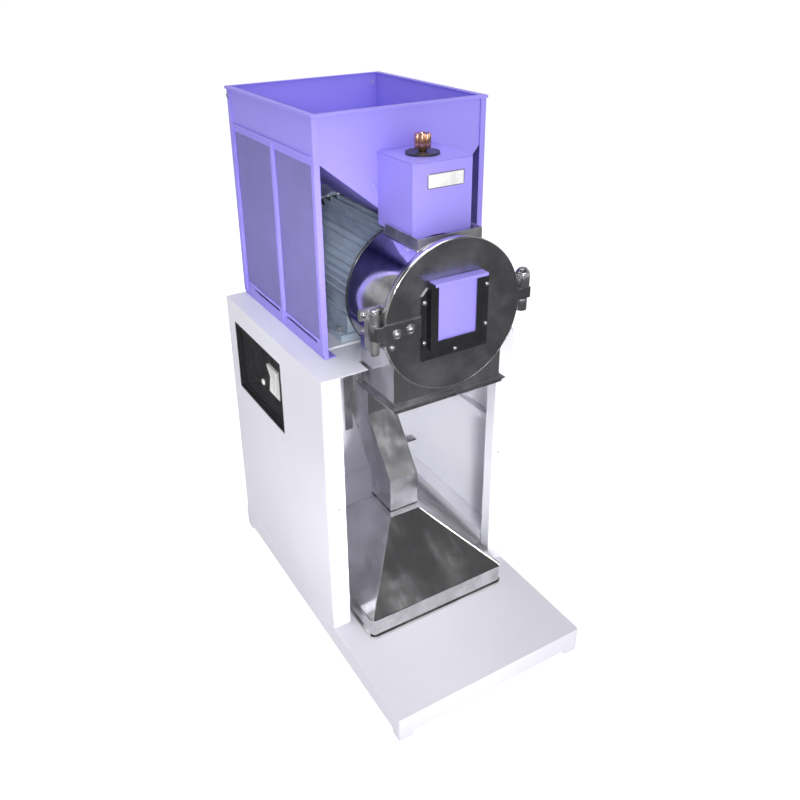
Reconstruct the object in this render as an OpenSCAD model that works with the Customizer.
// Hammer mill on a cabinet: hopper, motor, mill head, discharge chute and collecting pan.
// Millimetres. +Z up, the mill door faces -Y. Origin: centre of the footprint, on the floor.

/* [Base] */
// Width of the base and of the cabinet
base_w = 400; // [360:5:460]
// Depth of the base
base_d = 690; // [640:5:760]
// How far the base reaches in front of the cabinet
apron = 240; // [200:5:280]
// Height of the base tray above its feet
tray_h = 40; // [30:1:60]
// Height of the feet
foot_h = 13; // [8:1:25]

/* [Cabinet] */
// Depth of the cabinet
cab_d = 440; // [400:5:480]
// Height of the cabinet top above the floor
cab_top = 590; // [540:5:640]
// Width of the front posts
post_w = 36; // [28:1:44]
// Sheet thickness of the cabinet and of the stand
sheet = 2; // [1.5:0.5:3]

/* [Hopper] */
// Left side of the hopper, from the middle of the machine
hop_left = -158; // [-165:1:-150]
// Right side of the hopper, from the middle of the machine
hop_right = 166; // [150:1:170]
// Front of the hopper behind the cabinet front
hop_front = 70; // [60:1:80]
// Back of the hopper behind the cabinet front
hop_back = 436; // [400:1:438]
// Height of the hopper rim above the floor
rim_z = 1006; // [960:1:1040]
// Height of the hopper floor at its lowest
floor_z = 815; // [812:1:830]

/* [Mill] */
// Height of the mill and motor axis
axis_z = 698; // [696:1:702]
// Outside radius of the mill drum
drum_r = 119; // [116:1:120]
// Radius of the door disc
door_r = 129; // [126:1:132]
// Door front, in front of the cabinet front
door_front = 90; // [88:1:92]
// Radius swept by the hammer tips
tip_r = 98; // [90:1:100]

/* [Motor] */
// Outside radius over the cooling fins
fin_r = 106; // [102:1:106]
// Number of cooling fins
fin_count = 44; // [30:2:60]

/* [Chute] */
// Width of the discharge chute
chute_w = 62; // [50:1:70]
// Depth of the discharge chute
chute_d = 75; // [60:1:80]
// Half width of the collecting pan
pan_half = 150; // [140:1:152]

/* [Hidden] */
$fn = 64;

// Where things sit. Depths are measured from the cabinet front, +Y to the back.
front_y = apron - base_d / 2;
base_top = foot_h + tray_h;
half = base_w / 2;
gap = 0.3;
running = 0.06;

// Control recess in the left side of the cabinet
rec_y0 = 176;
rec_y1 = 402;
rec_z0 = 396;
rec_z1 = 546;
rec_rim = 5;
rec_depth = 22;
panel_x = -half + 8;
rocker_x = -half + 16;
rocker_y = 230;
rocker_z = 482;
rocker_w = 49;
lamp_y = 286;
lamp_z = 457;

// Hopper stand and tub
stand_top = 938;
strip_t = 3;
bays = [[82, 231], [245, 417]];
bay_z0 = 622;
bay_z1 = 925;
tub_t = 1.6;
slope_z = 933;
floor_x0 = -12;
floor_x1 = 66;
right_z = 929;
back_z = 905;
floor_y1 = hop_front + 190;

// Feed box between the hopper and the mill
box_mid = 10;
box_half = 56;
box_front = -36;
box_top = 938;
knob_x = 4;
knob_y = 14;
screw_r = 4.5;
gate_z0 = floor_z + 4;

// Mill casing, along Y from the door to the motor
shell_t = 3;
drum_y0 = -77;
drum_y1 = 48;
plate_y1 = 54;
outlet_half = 107;
outlet_y0 = -77;
outlet_y1 = 33;
outlet_z0 = 552;
flange_t = 10;
throat_z0 = 556;
throat_z1 = 576;

// Door and hinge. Heights are measured from the mill axis.
door_t = 12.6;
door_back = -door_front + door_t;
face_y = -door_front - 3;
hinge_x = -142;
hinge_y = -78;
hinge_r = 8;
pin_r = 4;
lug_low = [-36, -13];
lug_high = [12, 32];
knuckle = [-12.6, 11.6];
bracket_y = -66;

// Latch: an upright clamp screw in an open slot of a plate on the casing
latch_x = 144;
latch_y = -80;
ear_z = [-4, 15];
lug_z = [2.5, 8.5];

// Inspection window
win_half = 64;
win_open = 32;
win_open_z = [-30, 50];
rail_in = 48.5;
rail_z = [-48, 66.5];

// Motor, along Y
motor_y0 = 58;
body_y0 = 62;
body_y1 = 310;
shield_y1 = 326;
cowl_y1 = 400;
plate_top = 594;
foot_x = 80;

// Chute, hood and pan
chute_y0 = 152;
spout_y0 = 68;
chute_bend_z = 400;
spout_bend_z = 289;
neck_z = 217;
pan_y0 = -62;
pan_y1 = 268;
pan_top = 97;
pan_r = 10;

// A cylinder along Y between two depths
module rod_y(r, y0, y1) {
  translate([0, y0, 0]) rotate([-90, 0, 0]) cylinder(r = r, h = y1 - y0);
}

// A tube along Y between two depths
module tube_y(r_out, r_in, y0, y1) {
  difference() {
    rod_y(r_out, y0, y1);
    rod_y(r_in, y0 - 1, y1 + 1);
  }
}

// A box given by its two opposite corners
module span(a, b) {
  translate(a) cube([b[0] - a[0], b[1] - a[1], b[2] - a[2]]);
}

// A box with rounded upright edges
module round_box(a, b, r) {
  span([a[0] + r, a[1], a[2]], [b[0] - r, b[1], b[2]]);
  span([a[0], a[1] + r, a[2]], [b[0], b[1] - r, b[2]]);
  for (x = [a[0] + r, b[0] - r])
    for (y = [a[1] + r, b[1] - r])
      translate([x, y, a[2]]) cylinder(r = r, h = b[2] - a[2]);
}

// A profile in the X-Z plane carried along Y
module along_y(y0, y1) {
  translate([0, y1, 0]) rotate([90, 0, 0]) linear_extrude(y1 - y0) children();
}

// A profile in the Y-Z plane carried along X
module along_x(x0, x1) {
  translate([x0, 0, 0]) rotate([90, 0, 90]) linear_extrude(x1 - x0) children();
}

// Everything is placed from the cabinet front
module at_front() {
  translate([0, front_y, 0]) children();
}

// A shape and its mirror image on the other side of the middle
module both_sides() {
  children();
  mirror([1, 0, 0]) children();
}

// A domed bolt head standing on the X-Y plane
module dome_head(r, h) {
  rotate_extrude() polygon(concat(
    [[0, 0], [r, 0]],
    [for (a = [15:15:75]) [r * cos(a), h * sin(a)]],
    [[0, h]]
  ));
}

// A domed bolt head that faces the front
module front_bolt(x, y, z, r, h) {
  translate([x, y, z]) rotate([90, 0, 0]) dome_head(r, h);
}

// The mill and the motor share one axis
module at_axis() {
  translate([0, front_y, axis_z]) children();
}

/* Base */
module base_platform() {
  color("white") difference() {
    round_box([-half, -base_d / 2, foot_h], [half, base_d / 2, base_top], 4);
    round_box([-half + sheet, -base_d / 2 + sheet, foot_h - 1],
      [half - sheet, base_d / 2 - sheet, base_top - sheet], 3);
  }
}

module base_feet() {
  color("gainsboro") for (y = [-base_d / 2 + 1, base_d / 2 - 25])
    both_sides() span([half - 29, y, 0], [half - 1, y + 24, foot_h]);
}

/* Cabinet */
module side_panel() {
  span([-half, sheet, base_top], [-half + sheet, cab_d - sheet, cab_top - sheet]);
  difference() {
    span([-half + sheet, sheet, 366], [-half + 16, cab_d - sheet, 382]);
    span([-half, sheet - 1, 368], [-half + 14, cab_d, 380]);
  }
}

module cabinet_left_panel() {
  color("white") at_front() difference() {
    side_panel();
    span([-half - 1, rec_y0 - gap, rec_z0 - gap], [-half + rec_depth + 4, rec_y1 + gap, rec_z1 + gap]);
  }
}

module cabinet_right_panel() {
  color("white") at_front() mirror([1, 0, 0]) side_panel();
}

module cabinet_back_panel() {
  color("white") at_front() difference() {
    span([-half, cab_d - sheet, base_top], [half, cab_d, cab_top - sheet]);
    for (i = [0:7]) span([-110, cab_d - 4, 380 + i * 18], [110, cab_d + 1, 386 + i * 18]);
    translate([-120, cab_d - 4, 120]) rod_y(8, 0, 6);
  }
}

module post() {
  span([-half, 0, base_top], [-half + post_w, sheet, cab_top - sheet]);
  span([-half + post_w - sheet, sheet, base_top], [-half + post_w, 26, cab_top - sheet]);
  span([-half + 22, 24, base_top], [-half + post_w - sheet, 26, cab_top - sheet]);
}

module front_posts() {
  color("white") at_front() both_sides() post();
}

module cabinet_top() {
  color("white") at_front() difference() {
    span([-half, 0, cab_top - sheet], [half, cab_d, cab_top]);
    span([-outlet_half - 4, -1, cab_top - 5], [outlet_half + 4, outlet_y1 + 4, cab_top + 1]);
    span([-58, -1, cab_top - 5], [58, motor_y0 + 8, cab_top + 1]);
    span([-60, 240, cab_top - 5], [60, 300, cab_top + 1]);
  }
}

module rail() {
  difference() {
    span([-half + sheet + gap, 30, base_top], [-half + post_w, cab_d - 12, 116]);
    span([-half + 1, 29, base_top - 1], [-half + post_w - sheet, cab_d - 11, 114]);
  }
}

module pan_rails() {
  color("white") at_front() both_sides() rail();
}

module screw_head(r) {
  difference() {
    cylinder(r = r, h = 2.4);
    translate([-r, -0.5, 1.4]) cube([2 * r, 1, 2]);
  }
}

module panel_screws() {
  color("silver") at_front() {
    for (x = [-half + 22.5, half - 22.5]) translate([x, 0, 325]) rotate([90, 0, 0]) screw_head(3);
    translate([hop_left - strip_t, hop_back - 10, rim_z - 16]) rotate([0, -90, 0]) screw_head(4);
    translate([hop_right + strip_t, hop_back - 10, rim_z - 16]) rotate([0, 90, 0]) screw_head(4);
    translate([hop_right - 14, hop_back - sheet - gap - tub_t, rim_z - 20])
      rotate([90, 0, 0]) screw_head(4);
    translate([-54, hop_front + sheet + gap, 882]) rotate([90, 0, 0]) screw_head(3.5);
  }
}

/* Control recess */
module control_recess() {
  color("dimgray") at_front() difference() {
    span([-half, rec_y0, rec_z0], [-half + rec_depth, rec_y1, rec_z1]);
    span([-half - 1, rec_y0 + rec_rim, rec_z0 + rec_rim], [panel_x, rec_y1 - rec_rim, rec_z1 - rec_rim]);
    span([panel_x - 1, 303, 466], [panel_x + 3, 336, 514]);
    span([panel_x - 1, rocker_y - rocker_w / 2 - 0.5, rocker_z - 31.8],
      [-half + rec_depth + 1, rocker_y + rocker_w / 2 + 0.5, rocker_z + 31.8]);
    translate([panel_x - 1, lamp_y, lamp_z]) rotate([0, 90, 0]) cylinder(r = 4.4, h = rec_depth);
  }
}

module main_switch_rocker() {
  color("white") at_front() translate([rocker_x, rocker_y, rocker_z]) {
    along_y(-rocker_w / 2, rocker_w / 2) polygon([[0, -30], [-9, -30], [-6, 0], [-12, 30], [0, 30]]);
    rod_y(3, -rocker_w / 2 + 0.1, rocker_w / 2 - 0.1);
  }
}

module indicator_lamp() {
  color("ivory") at_front() translate([panel_x, lamp_y, lamp_z]) rotate([0, 90, 0]) {
    translate([0, 0, -3]) cylinder(r = 4, h = 14);
    translate([0, 0, -1.6]) cylinder(r = 6.5, h = 1.6);
  }
}

module cable_gland() {
  color("dimgray") at_front() translate([-120, 0, 120]) difference() {
    union() {
      rod_y(12, cab_d - 10, cab_d - sheet - gap);
      rod_y(7.6, cab_d - 10, cab_d + 6);
      translate([0, cab_d + 0.3, 0]) rotate([-90, 0, 0]) cylinder(r = 12, h = 5, $fn = 6);
      rod_y(9, cab_d + 5, cab_d + 9);
    }
    rod_y(4, cab_d - 12, cab_d + 12);
  }
}

/* Hopper stand */
module stand_side() {
  difference() {
    span([0, hop_front, cab_top], [sheet, hop_back - sheet - gap, rim_z - sheet]);
    for (y = bays) span([-1, y[0], bay_z0], [sheet + 1, y[1], bay_z1]);
    for (y = [[98, 226], [258, 380]]) span([-1, y[0], 611], [sheet + 1, y[1], 616]);
  }
  span([sheet, hop_front, cab_top], [8, hop_front + sheet, rim_z - sheet]);
  span([sheet, hop_front, cab_top], [22, hop_back - 20, cab_top + sheet]);
  for (y = [[hop_front, hop_front + 10], [hop_back - 17, hop_back - sheet - gap]])
    span([-strip_t, y[0], 598], [0, y[1], rim_z - 6]);
  span([-strip_t, 233, 598], [0, 243, stand_top]);
  span([-strip_t, hop_front, stand_top - 2], [0, hop_back - sheet - gap, stand_top + 2]);
}

module stand_left() {
  color("mediumpurple") at_front() translate([hop_left, 0, 0]) stand_side();
}

module stand_right() {
  color("mediumpurple") at_front() translate([hop_right, 0, 0]) mirror([1, 0, 0]) stand_side();
}

module stand_back() {
  color("mediumpurple") at_front() difference() {
    span([hop_left, hop_back - sheet, cab_top], [hop_right, hop_back, rim_z - sheet]);
    for (i = [0:11]) span([-100, hop_back - 4, 640 + i * 20], [108, hop_back + 1, 648 + i * 20]);
  }
}

module stand_mesh() {
  color("slateblue") at_front() for (x = [hop_left + sheet, hop_right - sheet - 1.2])
    span([x, hop_front + 4, bay_z0 - 4], [x + 1.2, hop_back - 8, bay_z1 + 2]);
}

/* Hopper tub: flat side walls above sloping floors */
// How far the inner corners of a sheet shift where it folds into a slope
function wall_shift(run, rise) = (sqrt(run * run + rise * rise) - rise) / run;
function floor_shift(run, rise) = (sqrt(run * run + rise * rise) - run) / rise;

module tub_profile_xz(t) {
  x0 = hop_left + sheet + gap;
  x1 = hop_right - sheet - gap;
  polygon([
    [x0 + t, slope_z + wall_shift(floor_x0 - x0, slope_z - floor_z) * t],
    [floor_x0 + floor_shift(floor_x0 - x0, slope_z - floor_z) * t, floor_z + t],
    [floor_x1 - floor_shift(x1 - floor_x1, right_z - floor_z) * t, floor_z + t],
    [x1 - t, right_z + wall_shift(x1 - floor_x1, right_z - floor_z) * t],
    [x1 - t, rim_z - sheet + t],
    [x0 + t, rim_z - sheet + t]
  ]);
}

module tub_profile_yz(t) {
  y0 = hop_front + sheet + gap;
  y1 = hop_back - sheet - gap;
  polygon([
    [y0 + t, floor_z + t],
    [floor_y1 - floor_shift(y1 - floor_y1, back_z - floor_z) * t, floor_z + t],
    [y1 - t, back_z + wall_shift(y1 - floor_y1, back_z - floor_z) * t],
    [y1 - t, rim_z - sheet + t],
    [y0 + t, rim_z - sheet + t]
  ]);
}

module tub_solid(t) {
  intersection() {
    along_y(hop_front, hop_back) tub_profile_xz(t);
    along_x(hop_left, hop_right) tub_profile_yz(t);
  }
}

module hopper_tub() {
  color("mediumpurple") at_front() difference() {
    tub_solid(0);
    tub_solid(tub_t);
    span([floor_x0 + 4, hop_front, gate_z0 - 1], [box_mid + 38, hop_front + 6, gate_z0 + 50]);
  }
}

module hopper_rim() {
  color("mediumpurple") at_front() difference() {
    span([hop_left - 5, hop_front - 2.5, rim_z - 5], [hop_right + 5, hop_back + 2.5, rim_z]);
    span([hop_left + 6, hop_front + 8, rim_z - 6], [hop_right - 6, hop_back - 6, rim_z + 1]);
    span([hop_left - 3, hop_front - 0.3, rim_z - 6], [hop_right + 3, hop_back + 0.3, rim_z - sheet]);
  }
}

/* Feed box, gate and knob */
module feed_box() {
  color("mediumpurple") at_front() difference() {
    union() {
      difference() {
        span([box_mid - box_half, box_front, floor_z],
          [box_mid + box_half, hop_front + sheet, box_top - 2.3]);
        span([box_mid - box_half + sheet, box_front + sheet, floor_z - 1],
          [box_mid + box_half - sheet, hop_front + 5, box_top]);
      }
      span([box_mid - box_half + 1, 59.5, floor_z],
        [box_mid + box_half - 1, hop_front + sheet, floor_z + sheet]);
      for (x = [box_mid - 47.5, box_mid + 47.5])
        span([x - 4.5, 64, floor_z + 1], [x + 4.5, hop_front + sheet, 928]);
    }
    translate([0, 0, axis_z]) rod_y(drum_r + 1.5, -90, 59.3);
  }
}

module feed_box_cover() {
  color("mediumpurple") at_front() difference() {
    span([box_mid - box_half, box_front, box_top - 2], [box_mid + box_half, hop_front + sheet, box_top]);
    translate([knob_x, knob_y, box_top - 5]) cylinder(r = 6, h = 10);
  }
}

module feed_knob() {
  color("peru") at_front() translate([knob_x, knob_y, box_top]) difference() {
    union() {
      translate([0, 0, 4]) cylinder(r = 7, h = 8);
      translate([0, 0, 10]) cylinder(r = 10.4, h = 22);
      for (i = [0:6]) rotate([0, 0, (i + 0.5) * 360 / 7])
        translate([10, 0, 9.5]) cylinder(r = 3.5, h = 22);
    }
    translate([0, 0, 24]) cylinder(r = 5.5, h = 12);
    translate([0, 0, 2]) cylinder(r = screw_r, h = 14);
  }
}

module gate_screw() {
  color("dimgray") at_front() translate([knob_x, knob_y, 0]) {
    translate([0, 0, gate_z0 + 10]) cylinder(r = screw_r, h = box_top + 14 - gate_z0 - 10);
    for (i = [0:13]) translate([0, 0, gate_z0 + 14 + i * 7]) cylinder(r = screw_r + 0.6, h = 2.4);
    translate([0, 0, box_top + 0.4]) cylinder(r = 28, h = 3);
  }
}

module feed_gate() {
  color("silver") at_front() difference() {
    union() {
      span([box_mid - 42, 67, gate_z0], [box_mid + 42, 69.5, gate_z0 + 58]);
      span([box_mid - 18, knob_y - 10, gate_z0 + 50], [box_mid + 6, 67.5, gate_z0 + 54]);
      translate([knob_x, knob_y, gate_z0 + 46]) cylinder(r = 10, h = 12);
    }
    translate([knob_x, knob_y, gate_z0 + 40]) cylinder(r = screw_r + 0.9, h = 24);
  }
}

/* Mill casing */
module mill_inlet() {
  color("silver") at_front() difference() {
    span([box_mid - 61, -60, 780], [box_mid + 61, 46, 825]);
    span([box_mid - 59, -58, 770], [box_mid + 59, 44, 826]);
    span([box_mid - 62, 41, floor_z - 0.5], [box_mid + 62, 47, 826]);
    translate([0, 0, axis_z]) rod_y(drum_r, -70, 60);
  }
}

module drum_shell() {
  color("silver") at_axis() difference() {
    tube_y(drum_r, drum_r - shell_t, drum_y0, drum_y1);
    span([box_mid - 54, -52, 60], [box_mid + 54, 38, 140]);
    span([-96, -70, -140], [96, 26, -66]);
  }
}

module drum_back_plate() {
  color("silver") at_axis() difference() {
    rod_y(drum_r, drum_y1, plate_y1);
    rod_y(20, drum_y1 - 1, plate_y1 + 1);
  }
}

module outlet_box() {
  color("silver") at_front() {
    difference() {
      span([-outlet_half, outlet_y0, outlet_z0], [outlet_half, outlet_y1, 660]);
      span([-outlet_half + 3, outlet_y0 + 3, outlet_z0 - 1], [outlet_half - 3, outlet_y1 - 3, 661]);
      translate([0, 0, axis_z]) rod_y(drum_r, -90, 60);
      span([-chute_w / 2 + 2, outlet_y1 - 4, throat_z0 + 2],
        [chute_w / 2 - 2, outlet_y1 + 1, throat_z1 - 2]);
    }
    along_x(-outlet_half + 2.5, outlet_half - 2.5) polygon([
      [outlet_y0 + 2.5, 572], [outlet_y0 + 2.5, 575],
      [outlet_y1 - 2.5, throat_z0 + 2], [outlet_y1 - 2.5, throat_z0 - 1]
    ]);
  }
}

module outlet_flange() {
  color("silver") at_front() difference() {
    union() {
      span([-outlet_half - 7, outlet_y0 - 9, outlet_z0 - 3],
        [outlet_half + 7, outlet_y1 + 7, outlet_z0]);
      span([-outlet_half - 3, outlet_y0 - 5, outlet_z0 - flange_t],
        [outlet_half + 3, outlet_y1 + 3, outlet_z0 - 2]);
    }
    span([-outlet_half + 3, outlet_y0 + 3, outlet_z0 - 20],
      [outlet_half - 3, outlet_y1 - 3, outlet_z0 + 1]);
  }
}

module sieve_screen() {
  color("silver") at_axis() difference() {
    tube_y(tip_r + 9, tip_r + 7.5, -68, 40);
    span([-140, -80, 10], [140, 60, 140]);
    for (a = [205:10:335]) rotate([0, -a, 0])
      for (y = [-58:24:20]) span([90, y, -3], [120, y + 14, 3]);
  }
  color("silver") at_axis() both_sides() span([drum_r - 13, -68, 2], [drum_r - 3.8, 40, 10]);
}

/* Door */
module door_disc() {
  color("dimgray") at_axis() difference() {
    rod_y(door_r, -door_front, door_back);
    rod_y(door_r - 7, -door_front + 4, door_back + 1);
    span([-win_open, -door_front - 1, win_open_z[0]], [win_open, -door_front + 5, win_open_z[1]]);
  }
}

module door_gasket() {
  color("black") at_axis() tube_y(door_r - 7, door_r - 15, -door_front + 4, door_back);
}

module door_strap() {
  color("dimgray") at_axis() difference() {
    union() {
      span([hinge_x + 8.6, face_y, -22], [-win_half - gap, -door_front, 13]);
      span([hinge_x - 4, face_y, knuckle[0]], [hinge_x + 10, -door_front, knuckle[1]]);
      span([hinge_x - 4, face_y, knuckle[0]], [hinge_x + 5, hinge_y, knuckle[1]]);
      translate([hinge_x, hinge_y, knuckle[0]]) cylinder(r = hinge_r, h = knuckle[1] - knuckle[0]);
    }
    translate([hinge_x, hinge_y, -30]) cylinder(r = pin_r + running, h = 60);
  }
}

module door_bolts() {
  color("silver") at_axis() {
    for (p = [[-110, -6], [-85, -3]]) front_bolt(p[0], face_y, p[1], 6, 4.6);
    front_bolt(-117, -door_front, -29, 5, 3.6);
    for (p = [[-59.5, 35], [-59.5, -34], [60, 42], [60, -28], [0, -58]])
      front_bolt(p[0], face_y, p[1], 3.8, 3);
  }
}

module hinge_bracket() {
  color("dimgray") at_axis() difference() {
    union() {
      for (z = [lug_low, lug_high]) {
        translate([hinge_x, hinge_y, z[0]]) cylinder(r = hinge_r, h = z[1] - z[0]);
        span([hinge_x - 4, hinge_y, z[0]], [hinge_x + 8, bracket_y + 8, z[1]]);
      }
      span([-160, bracket_y, 17], [hinge_x + 20, bracket_y + 6, 35]);
      span([hinge_x - 4, bracket_y, lug_low[0]], [-100, bracket_y + 12, lug_high[1]]);
    }
    translate([hinge_x, hinge_y, -40]) cylinder(r = pin_r, h = 80);
    rod_y(drum_r, -80, -40);
  }
}

module hinge_pin() {
  color("silver") at_axis() {
    translate([hinge_x, hinge_y, 0]) {
      translate([0, 0, lug_low[0]]) cylinder(r = pin_r, h = lug_high[1] - lug_low[0]);
      translate([0, 0, lug_high[1]]) dome_head(8, 6);
      translate([0, 0, lug_low[0]]) mirror([0, 0, 1]) dome_head(8, 6);
    }
    for (x = [-153, -128]) front_bolt(x, bracket_y, 26, 5, 4);
  }
}

module door_ear() {
  color("dimgray") at_axis() difference() {
    span([latch_x - 20, latch_y - 9, ear_z[0]], [latch_x + 12, latch_y + 10, ear_z[1]]);
    rod_y(door_r, -door_front - 1, door_back);
    translate([latch_x, latch_y, ear_z[0] - 1]) cylinder(r = pin_r + running, h = 30);
    span([latch_x - 13, latch_y - 4.5, lug_z[0] - 0.5], [latch_x + 13, latch_y + 11, lug_z[1] + 0.5]);
  }
}

module latch_lug() {
  color("silver") at_axis() difference() {
    union() {
      span([100, -60, lug_z[0]], [latch_x + 9, -50, lug_z[1]]);
      span([latch_x - 9, latch_y - 4, lug_z[0]], [latch_x + 9, -59, lug_z[1]]);
    }
    rod_y(drum_r, -90, -40);
    translate([latch_x, latch_y, lug_z[0] - 1]) cylinder(r = pin_r + 0.5, h = 8);
    span([latch_x - pin_r - 0.5, latch_y - 5, lug_z[0] - 1],
      [latch_x + pin_r + 0.5, latch_y, lug_z[1] + 1]);
  }
}

module clamp_screw() {
  color("silver") at_axis() translate([latch_x, latch_y, -25]) cylinder(r = pin_r, h = 65);
}

module clamp_knob() {
  color("silver") at_axis() translate([latch_x, latch_y, ear_z[1] + 0.4]) difference() {
    union() {
      cylinder(r = 11.4, h = 27);
      translate([0, 0, 27]) cylinder(r1 = 11.4, r2 = 7, h = 5.6);
      for (i = [0:11]) rotate([0, 0, i * 30 + 15]) translate([10.9, 0, 2]) cylinder(r = 1.5, h = 23);
    }
    translate([0, 0, -1]) cylinder(r = pin_r, h = 25.6);
  }
}

module clamp_nut() {
  color("silver") at_axis() translate([latch_x, latch_y, -26]) difference() {
    cylinder(r = 10, h = 21.6);
    translate([0, 0, 1]) cylinder(r = pin_r, h = 30);
  }
}

/* Inspection window */
module window_frame() {
  color("dimgray") at_axis() {
    difference() {
      along_y(face_y, -door_front) polygon([
        [-win_half, -66], [win_half, -66], [win_half, 58], [-win_half + 11, 58], [-win_half, 46]
      ]);
      span([-win_open, face_y - 1, win_open_z[0]], [win_open, -door_front + 1, win_open_z[1]]);
    }
    both_sides() {
      span([rail_in, face_y - 6, rail_z[0]], [rail_in + 3, face_y, rail_z[1]]);
      span([rail_in - 11.7, face_y - 6, rail_z[0]], [rail_in + 1, face_y - 4, rail_z[1]]);
    }
    span([-rail_in - 1, face_y - 6, rail_z[0]], [rail_in + 1, face_y, rail_z[0] + 3]);
    span([-rail_in + 10, face_y - 6, rail_z[0] + 1], [rail_in - 10, face_y - 4, rail_z[0] + 14]);
  }
}

module window_slide() {
  color("mediumpurple") at_axis() {
    span([-rail_in + 0.5, face_y - 3.6, rail_z[0] + 3.4], [rail_in - 0.5, face_y - 0.6, rail_z[1] + 2]);
    span([-50, face_y - 17, rail_z[1] + 1], [50, face_y + 2, rail_z[1] + 3]);
    span([-50, face_y - 17, rail_z[1] - 2.5], [50, face_y - 15.4, rail_z[1] + 2]);
  }
}

/* Rotor */
module rotor_hub() {
  color("silver") at_axis() difference() {
    union() {
      rod_y(30, -56, 30);
      rod_y(64, -56, -50);
      rod_y(64, 24, 30);
    }
    rod_y(14, -60, 34);
    for (a = [45:90:315]) rotate([0, a, 0]) translate([50, 0, 0]) rod_y(5, -60, 34);
  }
}

module hammer_pins() {
  color("silver") at_axis() for (a = [45:90:315]) rotate([0, a, 0]) translate([50, 0, 0]) {
    rod_y(5, -58, 32);
    rod_y(8, -60, -58 + 1.8);
  }
}

module hammer(angle) {
  color("silver") at_axis() rotate([0, angle, 0]) translate([50, 0, 0]) difference() {
    union() {
      rod_y(10, -46, 20);
      span([0, -46, -4.5], [tip_r - 50, 20, 4.5]);
      span([tip_r - 62, -46, -6], [tip_r - 50.6, 20, 6]);
    }
    rod_y(5.06, -50, 30);
  }
}

module hammer_a() { hammer(45); }

module hammer_b() { hammer(135); }

module hammer_c() { hammer(225); }

module hammer_d() { hammer(315); }

/* Motor */
module motor_shaft() {
  color("silver") at_axis() {
    rod_y(14, -64, 388);
    rod_y(24, -59, -56.02);
    translate([0, -59, 0]) rotate([90, 0, 0]) cylinder(r = 18, h = 10, $fn = 6);
  }
}

module motor_fan() {
  color("dimgray") at_axis() difference() {
    union() {
      rod_y(24, 340, 380);
      rod_y(84, 340, 343);
      for (i = [0:7]) rotate([0, i * 45, 0]) span([20, 343, -1.5], [84, 372, 1.5]);
    }
    rod_y(14, 330, 390);
  }
}

module motor_body() {
  color("slategray") at_axis() difference() {
    union() {
      rod_y(92, body_y0, body_y1);
      for (i = [0:fin_count - 1]) {
        a = i * 360 / fin_count;
        if (abs(a - 90) > 24 && a > 16 && a < 326)
          rotate([0, a, 0]) span([90, body_y0 + 1, -1.6], [fin_r, body_y1 - 1, 1.6]);
      }
      both_sides() {
        span([foot_x - 24, 110, plate_top - axis_z], [foot_x + 24, 284, plate_top - axis_z + 12]);
        span([foot_x - 8, 116, plate_top - axis_z + 11], [foot_x + 8, 278, -36]);
      }
      span([86, 150, -20], [foot_x + 18, 240, 56]);
    }
    rod_y(14.3, body_y0 - 1, body_y1 + 1);
  }
}

module motor_shields() {
  color("darkslategray") at_axis() difference() {
    union() {
      rod_y(drum_r + 1, plate_y1 + gap, motor_y0);
      rod_y(100, motor_y0 - 1, body_y0);
      rod_y(100, body_y1, shield_y1);
    }
    rod_y(14 + running, 50, 340);
    rod_y(60, body_y1 - 1, shield_y1 - 6);
  }
}

module motor_plate() {
  color("white") at_front() difference() {
    span([-134, 100, cab_top], [142, 430, plate_top]);
    translate([0, 415, cab_top - 1]) cylinder(r = 8, h = 10);
  }
}

module motor_bolts() {
  color("silver") at_front() for (x = [-foot_x - 17, foot_x + 17]) for (y = [128, 266])
    translate([x, y, plate_top + 12]) {
      cylinder(r = 8, h = 1.6);
      translate([0, 0, 1.6]) cylinder(r = 6.2, h = 6, $fn = 6);
      cylinder(r = 3.6, h = 10);
    }
}

module fan_cowl() {
  color("slategray") at_axis() difference() {
    rod_y(104, shield_y1 + gap, cowl_y1);
    rod_y(102, shield_y1 - 1, cowl_y1 - 2);
    for (r = [30:16:94]) for (i = [0:r / 16 * 4]) rotate([0, i * 360 / (floor(r / 16 * 4) + 1), 0])
      translate([r, 0, 0]) rod_y(4, cowl_y1 - 6, cowl_y1 + 1);
  }
}

module terminal_box() {
  color("slategray") at_axis() {
    span([foot_x + 18, 156, -16], [134, 234, 52]);
    span([134, 152, -20], [140, 238, 56]);
    translate([116, 160, -16]) rotate([180, 0, 0]) cylinder(r = 9, h = 10);
  }
}

/* Chute, hood and pan */
module chute_profile(t) {
  polygon([
    [outlet_y1 - t, throat_z1 - t], [outlet_y1 - t, throat_z0 + t],
    [chute_y0 + t, throat_z0 + t], [chute_y0 + t, chute_bend_z - t / 3],
    [spout_y0 + t, spout_bend_z - t / 3], [spout_y0 + t, neck_z - 6 - t],
    [spout_y0 + chute_d - t, neck_z - 6 - t], [spout_y0 + chute_d - t, 268 + t / 3],
    [chute_y0 + chute_d - t, 379 + t / 3], [chute_y0 + chute_d - t, throat_z1 - t]
  ]);
}

module discharge_chute() {
  color("silver") at_front() {
    difference() {
      along_x(-chute_w / 2, chute_w / 2) chute_profile(0);
      along_x(-chute_w / 2 + 2, chute_w / 2 - 2) chute_profile(2);
    }
    span([chute_w / 2 - 1, 107, 337], [chute_w / 2 + 22, 125, 340]);
    for (plate = [[-44, -27, 326], [27, 44, 440]])
      span([plate[0], chute_y0 + chute_d, plate[2]], [plate[1], chute_y0 + chute_d + 3, cab_top - sheet]);
    span([-44, chute_y0 + chute_d, 440], [44, chute_y0 + chute_d + 3, 470]);
  }
}

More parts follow.
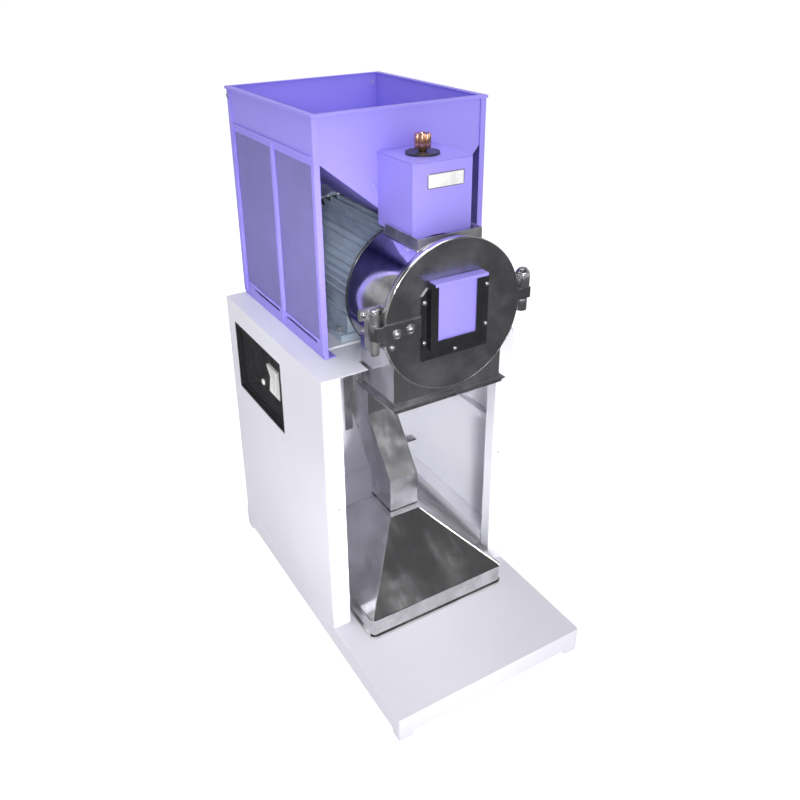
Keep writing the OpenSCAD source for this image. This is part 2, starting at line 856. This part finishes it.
module hood_solid(t) {
  slope_x = 1.41 * t;
  slope_y = 1.5 * t;
  x1 = chute_w / 2 + 2.3;
  y0 = spout_y0 - 2.3;
  y1 = spout_y0 + chute_d + 2.3;
  z0 = pan_top + 0.6;
  intersection() {
    along_y(pan_y0 - 1, pan_y1 + 1) polygon([
      [-pan_half + slope_x, z0], [pan_half - slope_x, z0],
      [x1 - slope_x, neck_z - 12], [-x1 + slope_x, neck_z - 12]
    ]);
    along_x(-pan_half, pan_half) polygon([
      [pan_y0 + slope_y, z0], [pan_y1 - slope_y, z0],
      [y1 - slope_y, neck_z - 12], [y0 + slope_y, neck_z - 12]
    ]);
  }
}

module collecting_hood() {
  color("silver") at_front() {
    difference() {
      hood_solid(0);
      translate([0, 0, -0.02]) hood_solid(1.4);
      span([-chute_w / 2 - 0.3, spout_y0 - 0.3, 180], [chute_w / 2 + 0.3, spout_y0 + chute_d + 0.3, 260]);
    }
    difference() {
      span([-chute_w / 2 - 2.3, spout_y0 - 2.3, neck_z - 12],
        [chute_w / 2 + 2.3, spout_y0 + chute_d + 2.3, neck_z]);
      span([-chute_w / 2 - 0.3, spout_y0 - 0.3, 180], [chute_w / 2 + 0.3, spout_y0 + chute_d + 0.3, 260]);
    }
  }
}

module collecting_pan() {
  color("silver") at_front() difference() {
    union() {
      round_box([-pan_half, pan_y0, base_top + 0.6], [pan_half, pan_y1, pan_top], pan_r);
      round_box([-pan_half - 3, pan_y0 - 3, base_top + 0.6],
        [pan_half + 3, pan_y1 + 3, base_top + 6], pan_r + 3);
      round_box([-pan_half - 1.5, pan_y0 - 1.5, pan_top - 3],
        [pan_half + 1.5, pan_y1 + 1.5, pan_top], pan_r + 1.5);
    }
    round_box([-pan_half + 2, pan_y0 + 2, base_top + 2.6],
      [pan_half - 2, pan_y1 - 2, pan_top + 1], pan_r - 2);
  }
}

base_platform();
base_feet();
cabinet_left_panel();
cabinet_right_panel();
cabinet_back_panel();
front_posts();
cabinet_top();
pan_rails();
panel_screws();
control_recess();
main_switch_rocker();
indicator_lamp();
cable_gland();
stand_left();
stand_right();
stand_back();
stand_mesh();
hopper_tub();
hopper_rim();
feed_box();
feed_box_cover();
feed_knob();
gate_screw();
feed_gate();
mill_inlet();
drum_shell();
drum_back_plate();
outlet_box();
outlet_flange();
sieve_screen();
door_disc();
door_gasket();
door_strap();
door_bolts();
hinge_bracket();
hinge_pin();
door_ear();
latch_lug();
clamp_screw();
clamp_knob();
clamp_nut();
window_frame();
window_slide();
rotor_hub();
hammer_pins();
hammer_a();
hammer_b();
hammer_c();
hammer_d();
motor_shaft();
motor_fan();
motor_body();
motor_shields();
motor_plate();
motor_bolts();
fan_cowl();
terminal_box();
discharge_chute();
collecting_hood();
collecting_pan();
